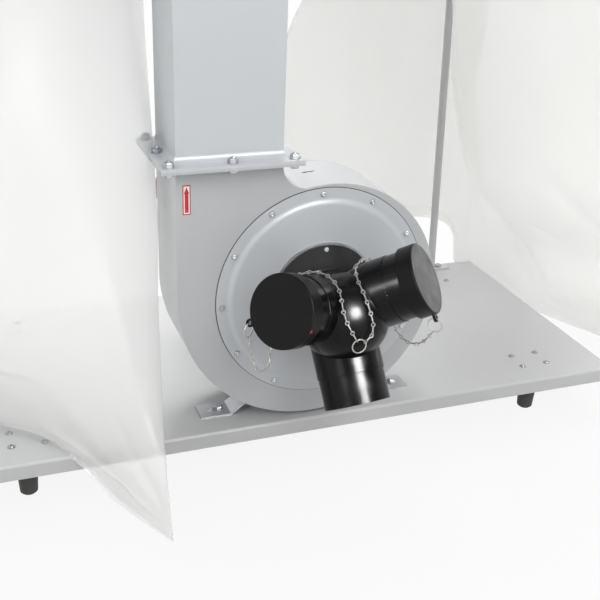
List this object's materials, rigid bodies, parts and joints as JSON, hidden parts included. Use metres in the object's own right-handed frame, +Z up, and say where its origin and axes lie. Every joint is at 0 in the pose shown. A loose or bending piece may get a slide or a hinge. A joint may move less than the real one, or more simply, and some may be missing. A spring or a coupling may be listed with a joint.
{
  "type": "two-bag chip extractor",
  "caption": "Chip extractor: blower with a three-way inlet on a base plate, its duct rising to two drums with film bags below and filter bags above.",
  "frame": {"origin": "on the floor, under the middle of the machine's box", "axes": "+Z up, the inlets face -Y, +X to the right seen from the inlets"},
  "size_m": [1.66, 0.8441, 2.209],
  "materials": {
    "plate_paint": "satin grey powder coat",
    "housing_paint": "satin grey powder coat",
    "cover_paint": "satin light grey powder coat",
    "duct_paint": "satin light grey powder coat",
    "strut_paint": "satin dark grey paint",
    "zinc": "bright zinc plate",
    "inlet_plastic": "glossy black moulding",
    "cap_plastic": "black moulding with a fine grain",
    "chain_steel": "bright nickel plate",
    "foot_rubber": "black rubber",
    "bag_film": "milky polyethylene film",
    "filter_cloth": "needled filter cloth",
    "motor_paint": "satin grey paint",
    "dark_plastic": "black moulding",
    "red_plastic": "red moulding"
  },
  "bodies": {
    "root": {"base_plate": "plate_paint", "foot_mounts": "zinc", "feet": "foot_rubber", "scroll_wrapper": "housing_paint", "scroll_front": "housing_paint", "scroll_back": "housing_paint", "fan_cover": "cover_paint", "inlet_ring": "zinc", "inlet_flange": "inlet_plastic", "inlet_body": "inlet_plastic", "cap_left": "cap_plastic", "cap_right": "cap_plastic", "chain_left": "chain_steel", "chain_right": "chain_steel", "chain_centre": "chain_steel", "bracket_left": "zinc", "bracket_right": "zinc", "outlet_flange": "housing_paint", "riser_duct": "duct_paint", "tee_duct": "duct_paint", "drum_left": "duct_paint", "drum_right": "duct_paint", "strut_left": "strut_paint", "strut_right": "strut_paint", "band_low_left": "zinc", "band_low_right": "zinc", "band_top_left": "zinc", "band_top_right": "zinc", "bag_left": "bag_film", "bag_right": "bag_film", "filter_left": "filter_cloth", "filter_right": "filter_cloth", "hanger_left": "strut_paint", "hanger_right": "strut_paint", "motor_shield": "motor_paint", "motor_body": "motor_paint", "motor_cowl": "dark_plastic", "motor_cradle": "zinc", "terminal_box": "dark_plastic", "switch_box": "dark_plastic", "switch_button": "red_plastic"}
  },
  "joints": []
}
